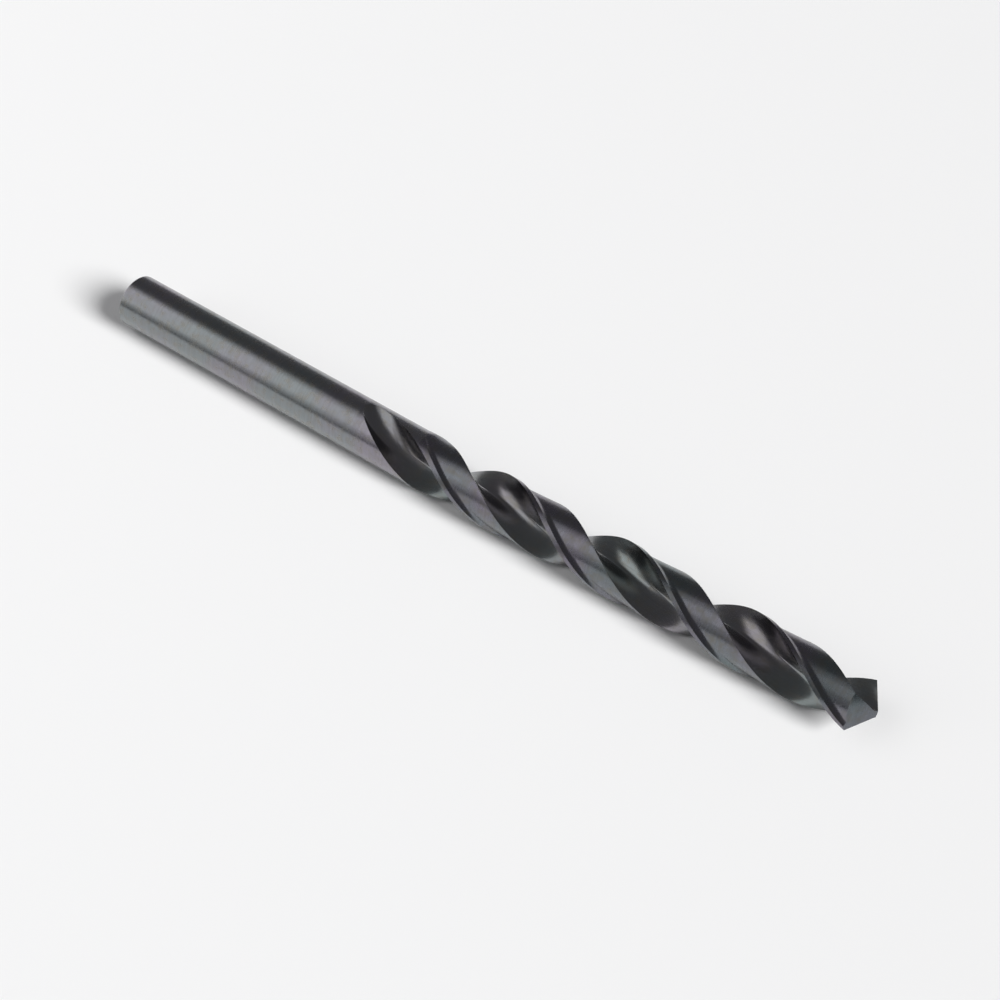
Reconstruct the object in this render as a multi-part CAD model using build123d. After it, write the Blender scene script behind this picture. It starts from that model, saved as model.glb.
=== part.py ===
"""Twist drill bit, jobber length, 7 mm, two flutes, parallel shank.

The drill is one piece of high speed steel.  It is made standing on its shank end, with its axis
along Z, in the order of a grinding shop: blank, flutes, body clearance, point.  Then it is laid on
its side: its axis runs along X, the shank end at x = 0, the point at +X, and z = 0 on the axis.
"""
from build123d import *
from math import asin, ceil, cos, degrees, pi, radians, sin, sqrt, tan
import os

# ---- driving dimensions, in millimetres and degrees ----
drill_diameter = 7.0          # over the margins
shank_diameter = 6.9          # plain parallel shank
overall_length = 109.0
flute_length = 71.0           # from the chisel edge back to the last trace of the flutes
margin_length = 62.0          # from the chisel edge back to the neck, where the margins begin
neck_length = 1.0             # cone between the shank and the margins
helix_angle = 33.0            # right-hand helix, measured at the margin
point_angle = 118.0           # between the two lips
lip_relief = 12.0             # fall of the flank straight behind a lip
flank_cone = 45.0             # half angle of the cones that the two flanks are ground on
web = 0.7                     # core between the flutes at the point
web_growth = 0.006            # added to the core for each millimetre towards the shank
land_sweep = 76.0             # part of the circumference that one land takes
margin_width = 0.55           # raised strip along the leading edge of a land
margin_step = 0.42            # depth of the land just behind the margin
land_middle = 0.32            # depth of the land half way to the heel
heel_step = 0.16              # depth of the land at the heel
flute_wheel = 26.0            # radius of the wheel that grinds the flutes
land_wheel = 14.0             # radius of the wheel that grinds the body clearance
end_chamfer = 0.3             # round the shank end
rest_turn = 102.4             # which part of the margins faces up as the drill lies

# ---- worked out from them ----
R = drill_diameter / 2
shank_r = shank_diameter / 2
lead = 2 * pi * R / tan(radians(helix_angle))
twist = 2 * pi / lead                                       # radians for each millimetre
kappa = radians(point_angle / 2)
relief = radians(lip_relief)
half_web = web / 2
lip_reach = sqrt(R**2 - half_web**2)                        # from the middle of a lip's line to its end
heel_angle = pi - radians(land_sweep)                       # from a leading corner over the flute
section_pitch = lead / 18
clear_r = 1.4 * R                                           # cutters close outside the blank


# ---- the flank cone: it holds a lip, and its surface falls away behind it ----
lip_way = Vector(sin(kappa), 0, -cos(kappa))
flank_face = Vector(cos(kappa) * cos(relief), -sin(relief), sin(kappa) * cos(relief))
cone_half = radians(flank_cone)
cone_way = lip_way * cos(cone_half) - flank_face * sin(cone_half)
apex_back = 1.5 * R                                         # along the lip, behind the drill's axis

def rise_over_chisel():
    """How far the line of a lip passes above the chisel edge, where the two cones meet the axis."""
    from_apex = Vector(0, -half_web, 0) + lip_way * apex_back
    a = cone_way.Z**2 - cos(cone_half)**2
    b = from_apex.dot(cone_way) * cone_way.Z - from_apex.Z * cos(cone_half)**2
    c = from_apex.dot(cone_way)**2 - from_apex.dot(from_apex) * cos(cone_half)**2
    near, other = (-b - sqrt(b**2 - a * c)) / a, (-b + sqrt(b**2 - a * c)) / a
    return -min(near, other, key=abs)

lip_top = overall_length + rise_over_chisel()
corner_z = lip_top - lip_reach / tan(kappa)                 # height of the outer corners

def on_circle(r, angle, z=0.0):
    return Vector(r * cos(angle), r * sin(angle), z)


def rake_point(r):
    """Point of the leading flute wall at radius r.  The wall meets the point cone in a straight lip."""
    along = sqrt(r**2 - half_web**2)
    angle = asin(half_web / r) - twist * (lip_reach - along) / tan(kappa)
    return on_circle(r, angle - asin(half_web / R))


def flute_section():
    """Corners and curve points of the ground-out flute, leading corner of the land at angle 0."""
    rake = [rake_point(clear_r - (clear_r - 0.18 * R) * i / 6) for i in range(7)]
    root = rake[-1]
    root_way = (rake[-1] - rake_point(0.21 * R)).normalized()
    heel = on_circle(R - heel_step, heel_angle)
    span = (heel - root).length
    inner = root + root_way * (0.25 * span)
    outer = heel - on_circle(0.38 * span, heel_angle + radians(15))
    far = on_circle(clear_r, heel_angle)
    crown = on_circle(1.25 * clear_r, heel_angle / 2)
    return rake, [root, inner, outer, heel], far, crown


def placed(points, z, push=Vector(0, 0, 0)):
    """The points pushed sideways, then turned by the helix at height z."""
    turned = degrees(twist * (z - corner_z))
    return [(p + push).rotate(Axis.Z, turned) + Vector(0, 0, z) for p in points]


def wheel_exit(z, full_z, wheel):
    """How far a wheel of this radius has left its full depth, below the height full_z."""
    back = max(full_z - z, 0.0)
    return wheel - sqrt(wheel**2 - back**2)


def heights(first, last):
    count = ceil((last - first) / section_pitch)
    return [first + (last - first) * i / count for i in range(count + 1)]


def flute_cutter():
    rake, back, far, crown = flute_section()
    run_out = sqrt(flute_wheel**2 - (flute_wheel - R)**2)
    full_z = overall_length - flute_length + run_out
    rings = []
    for z in heights(overall_length - flute_length - 0.5, overall_length + 1.0):
        core = web_growth / 2 * (overall_length - z)
        push = on_circle(core, heel_angle / 2) + on_circle(wheel_exit(z, full_z, flute_wheel), heel_angle)
        r = placed(rake, z, push)
        b = placed(back, z, push)
        f, c = placed([far, crown], z, push)
        rings.append(Wire([Spline(r), Bezier(b), Line(b[-1], f), ThreePointArc(f, c, r[0])]))
    return Solid.make_loft(rings)


def clearance_cutter():
    edge = margin_width / R
    foot = edge + margin_step / R
    heel = pi - heel_angle
    ledge = on_circle(R, -edge)
    low = on_circle(R - margin_step, -foot)
    middle = on_circle(R - land_middle, -(foot + heel) / 2)
    end = on_circle(R - heel_step, -heel)
    over = heel + radians(14)
    past = on_circle(R - heel_step, -over)
    top = ledge + (ledge - low).normalized() * (0.3 * R)
    full_z = overall_length - margin_length + sqrt(land_wheel**2 - (land_wheel - margin_step)**2)
    rings = []
    for z in heights(overall_length - margin_length - 0.5, overall_length + 1.0):
        out = wheel_exit(z, full_z, land_wheel)
        grow = lambda p: p + p.normalized() * out
        points = [grow(p) for p in (top, low, middle, end, past)]
        points += [on_circle(clear_r, -over), on_circle(clear_r, -(edge + over) / 2), on_circle(clear_r, -edge)]
        t, l, m, e, p, q, s, u = placed(points, z)
        rings.append(Wire([Line(t, l), ThreePointArc(l, m, e), Line(e, p), Line(p, q), ThreePointArc(q, s, u), Line(u, t)]))
    return Solid.make_loft(rings)


def flank(turned):
    """Solid cone whose surface is one flank."""
    apex = Vector(0, half_web, lip_top) - lip_way * apex_back
    tall = 9 * R
    cone = Solid.make_cone(0, tall * tan(cone_half), tall, Plane(origin=apex, z_dir=cone_way))
    return cone.rotate(Axis.Z, degrees(-asin(half_web / R)) + turned)


def twist_drill():
    neck = overall_length - margin_length
    body = Cylinder(R, overall_length - neck, align=(Align.CENTER, Align.CENTER, Align.MIN))
    body = Pos(0, 0, neck) * body
    step = Cone(shank_r, R, neck_length, align=(Align.CENTER, Align.CENTER, Align.MIN))
    step = Pos(0, 0, neck - neck_length) * step
    shank = Cylinder(shank_r, neck - neck_length, align=(Align.CENTER, Align.CENTER, Align.MIN))
    shank = chamfer(shank.edges().group_by(Axis.Z)[0], end_chamfer)
    drill = shank + step + body
    for cutter in (flute_cutter(), clearance_cutter()):
        for turned in (0, 180):
            drill -= cutter.rotate(Axis.Z, turned)
    top = Cylinder(1.5 * R, 4 * R, align=(Align.CENTER, Align.CENTER, Align.MIN))
    top = Pos(0, 0, overall_length - 3 * R) * top
    drill -= top - (Part() + flank(0)).intersect(Part() + flank(180))
    return drill


drill = twist_drill()
lying = Rot(0, 90, 0) * Rot(0, 0, rest_turn) * drill
solids = lying.solids()
print("solids", len(solids), "volume", round(lying.volume, 1), "box", lying.bounding_box())
os.makedirs("parts", exist_ok=True)
export_step(solids[0], "parts/twist_drill.step")
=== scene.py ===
"""The twist drill bit lying on a pale table: finely ground drill, black oxide, lamps and camera.

The drill is drawn again over its CAD node with the same sizes, as one closed skin whose lines
follow the helix, so that the long reflections in the flutes and on the lands run smoothly.
"""
import math

import bmesh
import bpy
import numpy as np
from mathutils import Matrix, Vector


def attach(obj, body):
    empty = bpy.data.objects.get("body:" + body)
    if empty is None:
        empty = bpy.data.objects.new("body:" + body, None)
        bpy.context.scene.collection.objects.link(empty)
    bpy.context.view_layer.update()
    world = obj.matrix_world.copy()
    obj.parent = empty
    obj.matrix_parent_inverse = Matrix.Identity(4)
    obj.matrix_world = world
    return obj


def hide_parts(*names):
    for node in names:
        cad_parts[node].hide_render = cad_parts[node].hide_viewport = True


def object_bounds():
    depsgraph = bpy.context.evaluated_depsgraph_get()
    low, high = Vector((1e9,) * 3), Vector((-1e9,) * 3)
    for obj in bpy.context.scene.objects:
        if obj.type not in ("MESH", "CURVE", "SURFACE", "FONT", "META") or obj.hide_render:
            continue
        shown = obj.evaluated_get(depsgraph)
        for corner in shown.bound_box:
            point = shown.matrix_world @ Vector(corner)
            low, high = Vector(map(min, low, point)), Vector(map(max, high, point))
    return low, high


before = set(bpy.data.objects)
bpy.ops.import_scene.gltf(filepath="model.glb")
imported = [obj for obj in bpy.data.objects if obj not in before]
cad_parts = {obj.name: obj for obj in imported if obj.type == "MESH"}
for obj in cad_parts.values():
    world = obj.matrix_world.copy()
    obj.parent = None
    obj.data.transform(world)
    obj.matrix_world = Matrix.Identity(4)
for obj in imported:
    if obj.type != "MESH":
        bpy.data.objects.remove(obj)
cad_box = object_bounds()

MM = 0.001

# ---- the drill's sizes, in millimetres and degrees, as in the part's source ----
drill_diameter = 7.0          # over the margins
shank_diameter = 6.9
overall_length = 109.0
flute_length = 71.0           # from the chisel edge back to the last trace of the flutes
margin_length = 62.0          # from the chisel edge back to the neck
neck_length = 1.0             # cone between the shank and the margins
helix_angle = 33.0
point_angle = 118.0
lip_relief = 12.0             # fall of the flank straight behind a lip
flank_cone = 45.0             # half angle of the cones that the two flanks are ground on
web = 0.7                     # core between the flutes at the point
web_growth = 0.006            # added to the core for each millimetre towards the shank
land_sweep = 76.0             # part of the circumference that one land takes
margin_width = 0.55
margin_step = 0.42            # depth of the land just behind the margin
land_middle = 0.32            # depth of the land half way to the heel
heel_step = 0.16              # depth of the land at the heel
flute_wheel = 26.0            # radius of the wheel that grinds the flutes
land_wheel = 14.0             # radius of the wheel that grinds the body clearance
end_chamfer = 0.3             # round the shank end
rest_turn = 102.4             # which part of the margins faces up as the drill lies

R = drill_diameter / 2
shank_r = shank_diameter / 2
twist = math.tan(math.radians(helix_angle)) / R             # radians for each millimetre
kappa = math.radians(point_angle / 2)
relief = math.radians(lip_relief)
half_web = web / 2
web_turn = math.asin(half_web / R)
lip_reach = math.sqrt(R**2 - half_web**2)                   # from the middle of a lip's line to its end
heel_angle = math.pi - math.radians(land_sweep)             # from a leading corner over the flute
neck = overall_length - margin_length
clear_r = 1.4 * R                                           # the walls are worked out as far as this
edge_angle = margin_width / R
foot_angle = edge_angle + margin_step / R
land_end = math.pi - heel_angle
foot_round = 0.40             # the wheel's corner leaves a hollow this far each side of the step's foot
hollow_end = foot_angle + foot_round / R

# the flute's wall in section: the rake ends in the root, and a curve leads from there to the heel
rake_end = 0.18 * R           # radius at which the rake turns into the root
rake_before = 0.21 * R        # radius a little before it, which gives the root its direction
root_pull = 0.25              # how far the curve keeps to the root's direction, as a share of its span
heel_pull = 0.38              # how far it keeps to the heel's direction
heel_lean = math.radians(15)  # between that direction and the radius through the heel

# ---- how finely the skin is drawn ----
FLUTE_POINTS = 56             # across one flute
MARGIN_POINTS = 18            # across one margin, and across the wide gap where the flute runs out
STEP_POINTS = 12              # down the step behind it and round its foot
LAND_POINTS = 24              # from there to the heel
HALF = FLUTE_POINTS + MARGIN_POINTS - 1 + STEP_POINTS + LAND_POINTS
RING_STEP = 0.24              # between sections, along the drill, in millimetres
SHANK_RINGS = 23              # from the end's chamfer to the first trace of the flutes
END_RINGS = (0.35, 0.7, 1.0)  # on the flat shank end, as shares of its radius
POINT_REACH = 3.0             # below the outer corners, where sections start to bend into the point
POINT_RINGS = 26              # bent sections from there to the rim of the ground point
FLANK_RINGS = 12              # from the rim of a flank to the axis
PAST_TOP = 0.5                # sections are worked out this far beyond the chisel edge, in millimetres
RAKE_SAMPLES, BACK_SAMPLES, BEYOND_SAMPLES = 90, 110, 30    # of the flute's wall, before it is drawn
LAND_SAMPLES, HOLLOW_SAMPLES = 120, 20                      # of the land's radius
HALVINGS = 40                 # of a search between two heights
SHARP = math.radians(16)      # edges that turn by more than this are drawn sharp


# ---- the two flank cones ----
lip_way = np.array([math.sin(kappa), 0, -math.cos(kappa)])
flank_face = np.array([
    math.cos(kappa) * math.cos(relief),
    -math.sin(relief),
    math.sin(kappa) * math.cos(relief),
])
cone_cos = math.cos(math.radians(flank_cone))
cone_way = lip_way * cone_cos - flank_face * math.sin(math.radians(flank_cone))
apex_back = 1.5 * R                                         # along the lip, behind the drill's axis


def cone_height(u, v):
    """Height of one flank's cone over the points (u, v), from the line of its lip at the axis."""
    px = u + lip_way[0] * apex_back
    py = v - half_web
    along = px * cone_way[0] + py * cone_way[1]
    flat = px**2 + py**2
    a = cone_way[2]**2 - cone_cos**2
    b = along * cone_way[2]
    c = along**2 - flat * cone_cos**2
    root = np.sqrt(np.maximum(b**2 - a * c, 0))
    one, two = (-b - root) / a, (-b + root) / a
    guess = lip_way[2] * apex_back
    near = np.where(abs(one - guess) < abs(two - guess), one, two)
    return near - lip_way[2] * apex_back


lip_top = overall_length - float(cone_height(np.array(0.0), np.array(0.0)))
corner_z = lip_top - lip_reach / math.tan(kappa)            # height of the outer corners


def point_height(x, y):
    """The two cones over (x, y), each with its height: the ground point is the lower of them."""
    u = x * math.cos(web_turn) - y * math.sin(web_turn)
    v = x * math.sin(web_turn) + y * math.cos(web_turn)
    return lip_top + cone_height(u, v), lip_top + cone_height(-u, -v)


# ---- sections of the drill, in a frame that turns with the helix ----
def on_circle(r, angle):
    return np.stack([r * np.cos(angle), r * np.sin(angle)], -1)


def rake_point(r):
    """Point of the leading flute wall at radius r.  The wall meets the point cone in a straight lip."""
    along = np.sqrt(r**2 - half_web**2)
    angle = np.arcsin(half_web / r) - twist * (lip_reach - along) / math.tan(kappa) - web_turn
    return on_circle(r, angle)


def flute_outline():
    """The wall of the flute from outside the leading corner, down the rake, to outside the heel."""
    rake = rake_point(np.linspace(clear_r, rake_end, RAKE_SAMPLES))
    root = rake[-1]
    root_way = root - rake_point(np.array(rake_before))
    root_way /= np.linalg.norm(root_way)
    heel = on_circle(R - heel_step, heel_angle)
    span = np.linalg.norm(heel - root)
    inner = root + root_way * (root_pull * span)
    outer = heel - on_circle(heel_pull * span, heel_angle + heel_lean)
    t = np.linspace(0, 1, BACK_SAMPLES)[1:, None]
    back = (1 - t)**3 * root + 3 * (1 - t)**2 * t * inner + 3 * (1 - t) * t**2 * outer + t**3 * heel
    out = np.linspace(0, 1, BEYOND_SAMPLES)[1:, None]
    beyond = heel + (on_circle(clear_r, heel_angle) - heel) * out
    return np.vstack([rake, back, beyond])


def land_radius():
    """Radius of the cleared land for each angle behind the leading corner, as (angle, radius)."""
    low = on_circle(R - margin_step, -foot_angle)
    middle = on_circle(R - land_middle, -(foot_angle + land_end) / 2)
    end = on_circle(R - heel_step, -land_end)
    # the circle through the three points
    a, b = middle - low, end - low
    d = 2 * (a[0] * b[1] - a[1] * b[0])
    centre = low + np.array([b[1] * (a @ a) - a[1] * (b @ b), a[0] * (b @ b) - b[0] * (a @ a)]) / d
    radius = np.linalg.norm(low - centre)
    angle = np.linspace(foot_angle, land_end, LAND_SAMPLES)
    reach = on_circle(1.0, -angle) @ centre
    arc = reach + np.sqrt(radius**2 - centre @ centre + reach**2)
    # the hollow at the foot of the step, tangent to the step and to that circle
    t = np.linspace(0, 1, HOLLOW_SAMPLES)
    hollow = foot_angle + (2 * t - 1) * foot_round / R
    above = np.interp(hollow[0], [edge_angle, foot_angle], [R, R - margin_step])
    beyond = np.interp(hollow[-1], angle, arc)
    depth = (1 - t)**2 * above + 2 * t * (1 - t) * (R - margin_step) + t**2 * beyond
    flat = angle > hollow[-1]
    # a hair before the step's edge the radius jumps to the clear one: the margin isn't cleared
    angles = np.concatenate([[edge_angle - 1e-6, edge_angle], hollow, angle[flat], [land_end + 0.3]])
    radii = np.concatenate([[clear_r, R], depth, arc[flat], [R - heel_step]])
    return angles, radii


OUTLINE = flute_outline()
LAND = land_radius()


def wheel_exit(z, full_z, wheel):
    """How far a wheel of this radius has left its full depth, below the height full_z."""
    back = max(full_z - z, 0.0)
    return wheel - math.sqrt(max(wheel**2 - back**2, 0.0))


flute_full = overall_length - flute_length + math.sqrt(flute_wheel**2 - (flute_wheel - R)**2)
land_full = neck + math.sqrt(land_wheel**2 - (land_wheel - margin_step)**2)


def blank_radius(z):
    return float(np.interp(z, [neck - neck_length, neck], [shank_r, R]))


def outer_radius(angle, z):
    """Radius of the unfluted drill at an angle in the turning frame."""
    past_any_heel = math.radians(130)
    behind = np.mod(-angle, math.pi)
    behind = np.where(behind > past_any_heel, behind - math.pi, behind)
    cleared = np.interp(behind, *LAND, left=clear_r)
    return np.minimum(blank_radius(z), cleared + wheel_exit(z, land_full, land_wheel))


def flute_wall(z):
    """The flute's outline at height z, pushed out by the core's growth and by the wheel's exit."""
    core = web_growth / 2 * (overall_length - z)
    push = on_circle(core, heel_angle / 2)
    push = push + on_circle(wheel_exit(z, flute_full, flute_wheel), heel_angle)
    return OUTLINE + push


def section(z):
    """One half of the section: flute wall, then margin, step and land of the next land, heel last."""
    wall = flute_wall(z)
    radius = np.linalg.norm(wall, axis=1)
    angle = np.arctan2(wall[:, 1], wall[:, 0])
    over = radius - outer_radius(angle, z)
    inside = np.nonzero(over < 0)[0]
    if len(inside) == 0:
        lowest = np.argmin(over)
        start = stop = wall[lowest] / radius[lowest] * blank_radius(z)
        walls = np.repeat(start[None], FLUTE_POINTS, 0)
    else:
        first, last = inside[0], inside[-1]
        f = over[first - 1] / (over[first - 1] - over[first])
        g = over[last + 1] / (over[last + 1] - over[last])
        start = wall[first - 1] + f * (wall[first] - wall[first - 1])
        stop = wall[last + 1] + g * (wall[last] - wall[last + 1])
        path = np.vstack([start, wall[first:last + 1], stop])
        run = np.concatenate([[0], np.cumsum(np.linalg.norm(np.diff(path, axis=0), axis=1))])
        at = np.linspace(0, run[-1], FLUTE_POINTS)
        walls = np.stack([np.interp(at, run, path[:, k]) for k in (0, 1)], -1)
    lead = math.atan2(start[1], start[0])
    heel = math.atan2(stop[1], stop[0]) - math.pi
    angles = np.concatenate([
        np.linspace(lead, -edge_angle, MARGIN_POINTS + 1)[1:-1],
        np.linspace(-edge_angle, -hollow_end, STEP_POINTS + 1)[:-1],
        np.linspace(-hollow_end, heel, LAND_POINTS + 1)[:-1],
    ])
    lands = on_circle(outer_radius(angles, z), angles)
    return np.vstack([walls[::-1], lands])


def find_exit():
    """Height at which the flutes leave the shank."""
    low, high = overall_length - flute_length - 1.0, flute_full
    for _ in range(HALVINGS):
        mid = (low + high) / 2
        gone = np.linalg.norm(flute_wall(mid), axis=1).min() >= shank_r
        low, high = (mid, high) if gone else (low, mid)
    return high


def turned(points, z):
    """The points of a section turned by the helix at height z, and lifted to it."""
    angle = twist * (z - corner_z)
    c, s = np.cos(angle), np.sin(angle)
    x = points[..., 0] * c - points[..., 1] * s
    y = points[..., 0] * s + points[..., 1] * c
    return np.stack([x, y, np.broadcast_to(z, x.shape)], -1)


def drill_rings():
    """Rings of points from the shank end to the point; every ring has the same columns."""
    exit_z = find_exit()
    top_z = overall_length + PAST_TOP
    levels = np.linspace(exit_z, top_z, math.ceil((top_z - exit_z) / RING_STEP) + 1)
    halves = np.array([section(z) for z in levels])
    flat = np.concatenate([halves, -halves], axis=1)
    columns = np.arange(flat.shape[1])

    def at_heights(z):
        """The columns' points, each at its own height."""
        k = np.clip((z - levels[0]) / (levels[1] - levels[0]), 0, len(levels) - 1.001)
        i = k.astype(int)
        f = (k - i)[:, None]
        return turned(flat[i, columns] * (1 - f) + flat[i + 1, columns] * f, z)

    # where each column meets the ground point
    straight_top = corner_z - POINT_REACH
    low = np.full(len(columns), straight_top)
    high = np.full(len(columns), top_z - 0.1)
    for _ in range(HALVINGS):
        mid = (low + high) / 2
        p = at_heights(mid)
        under = mid < np.minimum(*point_height(p[:, 0], p[:, 1]))
        low, high = np.where(under, mid, low), np.where(under, high, mid)
    rim_z = (low + high) / 2

    # the columns are even round the shank end and crowd together towards the flutes
    first = at_heights(np.full(len(columns), exit_z))
    tight = np.unwrap(np.arctan2(first[:, 1], first[:, 0]))
    even = tight[0] - 2 * math.pi * columns / len(columns)

    def round_ring(r, z):
        share = np.clip(z / exit_z, 0, 1)**2
        angle = even * (1 - share) + tight * share
        return np.stack([r * np.cos(angle), r * np.sin(angle), np.full(len(angle), z)], -1)

    rings, kinds = [], []

    def add_ring(ring, kind):
        rings.append(ring)
        kinds.append(kind)

    for share in END_RINGS:
        add_ring(round_ring((shank_r - end_chamfer) * share, 0.0), "end")
    for z in np.linspace(end_chamfer, exit_z, SHANK_RINGS + 1)[:-1]:
        add_ring(round_ring(shank_r, z), "shank")
    for z in levels[levels < straight_top - 0.1]:
        add_ring(at_heights(np.full(len(columns), z)), "body")
    for share in np.linspace(0, 1, POINT_RINGS):
        add_ring(at_heights(straight_top + (rim_z - straight_top) * share), "body")

    # where the rim passes from one flank to the other, its nearest column moves onto the crossing
    rim = rings[-1]
    one, two = point_height(rim[:, 0], rim[:, 1])
    over = one - two
    for c in columns:
        n = (c + 1) % len(columns)
        if over[c] * over[n] < 0:
            f = over[c] / (over[c] - over[n])
            nearest = c if f < 0.5 else n
            rim[nearest] = rim[c] * (1 - f) + rim[n] * f
            rim[nearest, 2] = float(np.minimum(*point_height(rim[nearest, 0], rim[nearest, 1])))

    for share in np.linspace(1, 0, FLANK_RINGS + 1)[1:-1]:
        xy = rim[:, :2] * share
        z = np.minimum(*point_height(xy[:, 0], xy[:, 1]))
        add_ring(np.column_stack([xy, z]), "flank")
    return np.array(rings), kinds


def laid_down(points):
    """From standing on the shank end, in millimetres, to lying along X, in metres."""
    a = math.radians(rest_turn)
    x = points[..., 0] * math.cos(a) - points[..., 1] * math.sin(a)
    y = points[..., 0] * math.sin(a) + points[..., 1] * math.cos(a)
    return np.stack([points[..., 2], y, -x], -1) * MM


SHANK, LANDS, FLUTES, FLANKS = range(4)                     # places of the metals on the drill


def drill_piece(metals):
    """The skin over the rings, closed at both ends, with sharp edges along the corners of the flutes."""
    rings, kinds = drill_rings()
    count, wide = rings.shape[:2]
    ends = laid_down(np.array([[0, 0, 0], [0, 0, overall_length]]))
    points = np.vstack([laid_down(rings).reshape(-1, 3), ends])
    end_centre, tip_centre = count * wide, count * wide + 1
    rim = rings[-FLANK_RINGS]
    steps = np.linalg.norm(np.diff(np.vstack([rim, rim[:1]]), axis=0), axis=1)
    run = np.concatenate([[0], np.cumsum(steps)])

    def metal_at(k, j):
        """Which metal the face between rings k and k + 1 has, in column j."""
        if kinds[k + 1] == "flank":
            return FLANKS
        if kinds[k] == "body" and j % HALF < FLUTE_POINTS - 1:
            return FLUTES
        if kinds[k] == "body" and rings[k, j, 2] > neck:
            return LANDS
        return SHANK

    faces, looks, uvs = [], [], []
    for j in range(wide):
        faces.append((end_centre, j, (j + 1) % wide))
        looks.append(SHANK)
        uvs += [(0, run[j]), (0, run[j]), (0, run[j + 1])]
    for k in range(count - 1):
        for j in range(wide):
            n = (j + 1) % wide
            faces.append((k * wide + j, k * wide + n, (k + 1) * wide + n, (k + 1) * wide + j))
            looks.append(metal_at(k, j))
            low, high = rings[k, j, 2], rings[k + 1, j, 2]
            uvs += [(low, run[j]), (low, run[j + 1]), (high, run[j + 1]), (high, run[j])]
    base = (count - 1) * wide
    for j in range(wide):
        faces.append((base + j, base + (j + 1) % wide, tip_centre))
        looks.append(FLANKS)
        uvs += [(overall_length, run[j]), (overall_length, run[j + 1]), (overall_length, run[j])]
    mesh = bpy.data.meshes.new("drill")
    mesh.from_pydata(points.tolist(), [], faces)
    mesh.polygons.foreach_set("material_index", looks)
    along_and_across = mesh.uv_layers.new(name="along_and_across")
    along_and_across.data.foreach_set("uv", (np.array(uvs) * MM).ravel())

    # the four corners of the flutes, numbered, so that their edges are found again after merging
    marks = np.zeros(len(points), np.int32)
    for k in range(count):
        if kinds[k] == "body":
            for side in (0, 1):
                marks[k * wide + side * HALF] = 1 + 2 * side
                marks[k * wide + side * HALF + FLUTE_POINTS - 1] = 2 + 2 * side
    mesh.attributes.new("corner_line", "INT", "POINT").data.foreach_set("value", marks)

    solid = bmesh.new()
    solid.from_mesh(mesh)
    bmesh.ops.remove_doubles(solid, verts=solid.verts, dist=0.0002 * MM)
    bmesh.ops.dissolve_degenerate(solid, edges=solid.edges, dist=0.0001 * MM)
    bmesh.ops.recalc_face_normals(solid, faces=solid.faces)
    line = solid.verts.layers.int["corner_line"]
    for face in solid.faces:
        face.smooth = True
    for edge in solid.edges:
        a, b = edge.verts
        on_corner = a[line] != 0 and a[line] == b[line]
        edge.smooth = not on_corner and edge.calc_face_angle(0) < SHARP
    solid.to_mesh(mesh)
    solid.free()
    mesh.attributes.remove(mesh.attributes["corner_line"])
    piece = bpy.data.objects.new("drill", mesh)
    bpy.context.collection.objects.link(piece)
    for metal in metals:
        mesh.materials.append(metal)
    return piece


# ---- materials ----
CLOUD_SIZE, MOTTLE_SIZE = 9.0, 1.1                          # of the oxide's colour, in millimetres
LINE_STRETCH = 30                                           # length of a grinding line over its width


def linear(code):
    """A hex colour, as linear light."""
    parts = [int(code[i:i + 2], 16) / 255 for i in (1, 3, 5)]
    return [c / 12.92 if c <= 0.04045 else ((c + 0.055) / 1.055)**2.4 for c in parts] + [1.0]


def node(tree, kind, settings=None, **links):
    """Adds a node.

    A value or an output goes to the socket of that name, or of that number if it is s0, s1 and so on.
    """
    made = tree.nodes.new(kind)
    for name, value in (settings or {}).items():
        setattr(made, name, value)
    for name, value in links.items():
        number = name[0] == "s" and name[1:].isdigit()
        socket = made.inputs[int(name[1:])] if number else made.inputs[name.replace("_", " ")]
        if isinstance(value, bpy.types.NodeSocket):
            tree.links.new(value, socket)
        else:
            socket.default_value = value
    return made


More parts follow.
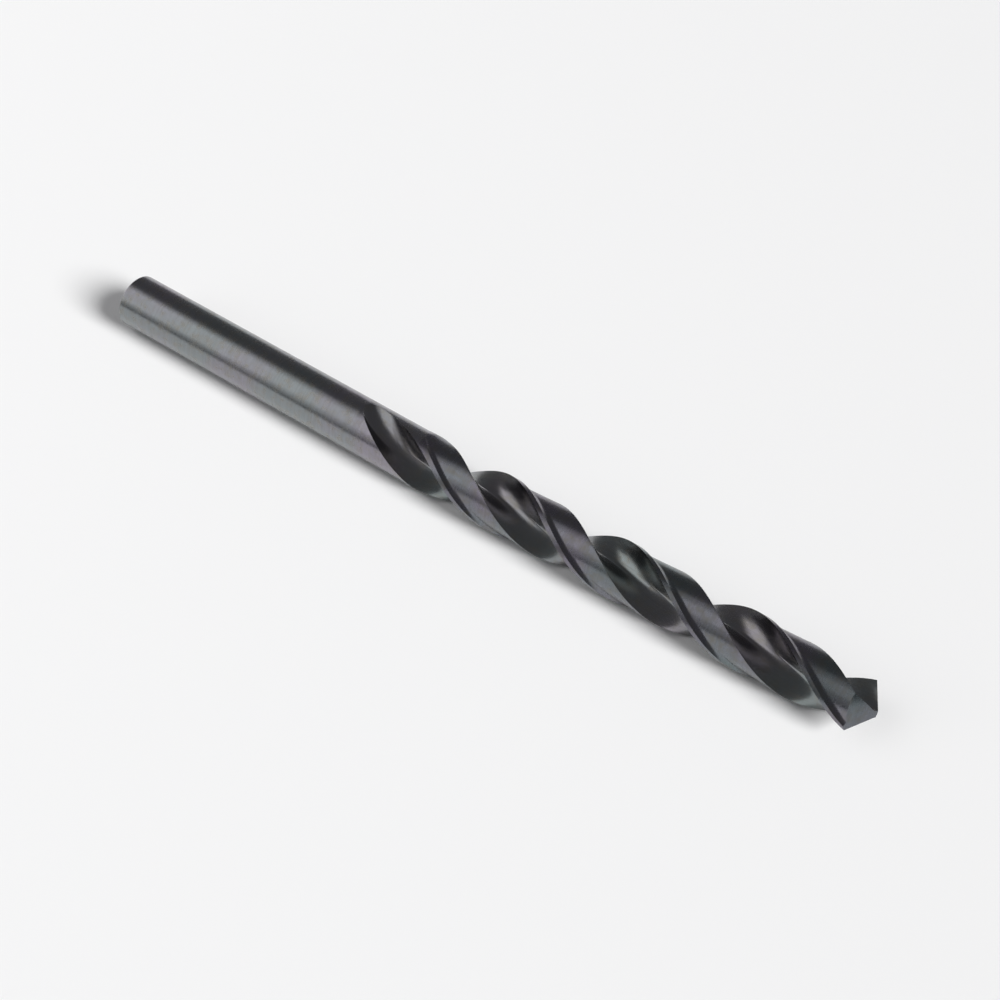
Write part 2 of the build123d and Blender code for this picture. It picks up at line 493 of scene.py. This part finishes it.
def black_oxide(name, tones, rough, lines_along, line_mm, line_depth):
    """Black oxide on ground high speed steel, in three tones: violet grey, plain grey and olive grey.

    The skin of oxide is thin.  The eye sees the gloss and the grinding lines of the steel under it, and
    faint clouds of colour where the skin grew thicker, with a finer mottle over them.
    """
    metal = bpy.data.materials.new(name)
    metal.use_nodes = True
    tree = metal.node_tree
    shader = tree.nodes["Principled BSDF"]
    shader.inputs["Metallic"].default_value = 1.0
    place = node(tree, "ShaderNodeTexCoord")
    on_piece = place.outputs["Object"]
    cloud = node(tree, "ShaderNodeTexNoise", Vector=on_piece, Scale=1 / (CLOUD_SIZE * MM), Detail=2.0)
    mottle = node(tree, "ShaderNodeTexNoise", Vector=on_piece, Scale=1 / (MOTTLE_SIZE * MM),
                  Detail=4.0, Roughness=0.65)
    clouded = node(tree, "ShaderNodeMapRange", Value=cloud.outputs["Fac"], From_Min=0.38, From_Max=0.62)
    mottled = node(tree, "ShaderNodeMapRange", Value=mottle.outputs["Fac"],
                   From_Min=0.45, From_Max=0.70, To_Max=0.7)
    violet, plain, olive = (linear(tone) for tone in tones)
    first = node(tree, "ShaderNodeMix", {"data_type": "RGBA"},
                 s0=clouded.outputs["Result"], s6=violet, s7=plain)
    shade = node(tree, "ShaderNodeMix", {"data_type": "RGBA"},
                 s0=mottled.outputs["Result"], s6=first.outputs[2], s7=olive)
    # the grinding lines, drawn a few times coarser than the real ones, so that they show
    thin, long = 1 / (line_mm * MM), 1 / (LINE_STRETCH * line_mm * MM)
    if lines_along:
        stretch = node(tree, "ShaderNodeMapping", Vector=place.outputs["UV"], Scale=(long, thin, 1))
    else:
        stretch = node(tree, "ShaderNodeMapping", Vector=on_piece, Scale=(thin, long, long))
    lines = node(tree, "ShaderNodeTexNoise", Vector=stretch.outputs["Vector"], Scale=1.0,
                 Detail=3.0, Roughness=0.55)
    streak = node(tree, "ShaderNodeMapRange", Value=lines.outputs["Fac"],
                  From_Min=0.3, From_Max=0.7, To_Min=0.91, To_Max=1.07)
    worn = node(tree, "ShaderNodeVectorMath", {"operation": "SCALE"},
                s0=shade.outputs[2], Scale=streak.outputs["Result"])
    tree.links.new(worn.outputs["Vector"], shader.inputs["Base Color"])
    # the mottle is also a little glossier and duller in turn
    gloss = node(tree, "ShaderNodeMapRange", Value=mottle.outputs["Fac"], From_Min=0.3, From_Max=0.7,
                 To_Min=rough - 0.04, To_Max=rough + 0.05)
    tree.links.new(gloss.outputs["Result"], shader.inputs["Roughness"])
    bump = node(tree, "ShaderNodeBump", Strength=1.0, Distance=line_depth * MM, Height=lines.outputs["Fac"])
    tree.links.new(bump.outputs["Normal"], shader.inputs["Normal"])
    return metal


def table_top():
    """White melamine table top, matt and even: the eye sees no gloss on it, only the soft shadow."""
    top = bpy.data.materials.new("white_melamine")
    top.use_nodes = True
    shader = top.node_tree.nodes["Principled BSDF"]
    shader.inputs["Base Color"].default_value = linear("#F0F0F0")
    shader.inputs["Roughness"].default_value = 0.9
    shader.inputs["Specular IOR Level"].default_value = 0.0
    return top


def table(size, height):
    mesh = bpy.data.meshes.new("table")
    h = size / 2
    corners = [(-h, -h, height), (h, -h, height), (h, h, height), (-h, h, height)]
    mesh.from_pydata(corners, [], [(0, 1, 2, 3)])
    top = bpy.data.objects.new("table", mesh)
    bpy.context.collection.objects.link(top)
    mesh.materials.append(table_top())
    return top


# ---- the drill ----
# cylindrically ground shank: satin, with fine lines round it and an even grey sheen
# ground lands: darker, and a touch duller than the shank
# milled and polished flutes: glossier, with lines that run along the helix
# ground point: the darkest and plainest, with the finest lines
metals = (
    black_oxide("black_oxide_ground_shank", ("#8E8A93", "#868B8D", "#88847C"), 0.25, False, 0.16, 0.0020),
    black_oxide("black_oxide_ground_lands", ("#7B7781", "#70797B", "#74716A"), 0.28, False, 0.16, 0.0020),
    black_oxide("black_oxide_milled_flutes", ("#8A878C", "#858C8C", "#86827A"), 0.22, True, 0.20, 0.0025),
    black_oxide("black_oxide_ground_point", ("#6E6F76", "#667072", "#686660"), 0.28, False, 0.14, 0.0020),
)
drill = drill_piece(metals)
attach(drill, "root")
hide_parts("twist_drill")

# ---- the table it lies on ----
table_size = 6.0                                            # metres
floor_z = cad_box[0][2]
top = table(table_size, floor_z)

# ---- lamps ----
# a soft box over the near side, in strips from its upper edge down: its light fades towards both edges
sheet_distance, sheet_length = 0.7, 0.53                    # metres
sheet_lean = math.radians(34)                               # over the shank end
soft_box = (                                                # two angles from the upright, and radiance
    (-8, 0, 0.4),
    (0, 10, 0.65),
    (10, 58, 1.0),
    (58, 70, 0.65),
    (70, 80, 0.35),
)


def light_sheet(name, low, high, radiance):
    """A sheet of light over the drill, between two angles from the upright."""
    middle, half = math.radians((low + high) / 2), math.radians((high - low) / 2)
    lean, rise = math.sin(sheet_lean), math.cos(sheet_lean)
    lamp = bpy.data.lights.new(name, "AREA")
    lamp.shape = "RECTANGLE"
    lamp.size = sheet_length
    lamp.size_y = 2 * sheet_distance * rise * math.tan(half)
    lamp.energy = math.pi * lamp.size * lamp.size_y * radiance
    placed = bpy.data.objects.new(name, lamp)
    way = Vector((-lean, -rise * math.sin(middle), rise * math.cos(middle)))
    placed.location = Vector((overall_length / 2 * MM, 0, 0)) + way * sheet_distance
    across = Vector((1, 0, 0)) - way * way.x
    across.normalize()
    placed.rotation_euler = Matrix((across, way.cross(across), way)).transposed().to_euler()
    bpy.context.collection.objects.link(placed)


for low_edge, high_edge, radiance in soft_box:
    light_sheet(f"soft_box_{low_edge}", low_edge, high_edge, radiance)

# a far lamp beyond the point: it lights the table, and the metal doesn't mirror it
sun = bpy.data.objects.new("far_lamp", bpy.data.lights.new("far_lamp", "SUN"))
sun.data.energy = 4.25
sun.data.angle = math.radians(25)
sun.rotation_euler = Vector((0.82, -0.05, 0.57)).to_track_quat("Z", "Y").to_euler()
sun.visible_glossy = False
bpy.context.collection.objects.link(sun)

# the room: dim, and a little paler low down than overhead
world = bpy.data.worlds.new("room")
world.use_nodes = True
room = world.node_tree
way = node(room, "ShaderNodeTexCoord")
height = node(room, "ShaderNodeSeparateXYZ", Vector=way.outputs["Generated"])
lowness = node(room, "ShaderNodeMapRange", Value=height.outputs["Z"], From_Min=0.6, From_Max=0.15)
tone = node(room, "ShaderNodeMix", {"data_type": "RGBA"},
            s0=lowness.outputs["Result"], s6=linear("#626264"), s7=linear("#707072"))
room.links.new(tone.outputs[2], room.nodes["Background"].inputs["Color"])
bpy.context.scene.world = world

# ---- camera ----
view = bpy.data.cameras.new("camera")
view.sensor_width = 36
view.lens = 66.46
view.clip_start, view.clip_end = 0.01, 50
camera_place = Vector((143.18, -114.16, 164.58)) * MM
camera_way = Vector((-0.38915, 0.52623, -0.75607))
camera = bpy.data.objects.new("camera", view)
camera.location = camera_place
camera.rotation_euler = camera_way.to_track_quat("-Z", "Y").to_euler()
bpy.context.collection.objects.link(camera)
scene = bpy.context.scene
scene.camera = camera
scene.view_settings.view_transform = "Standard"
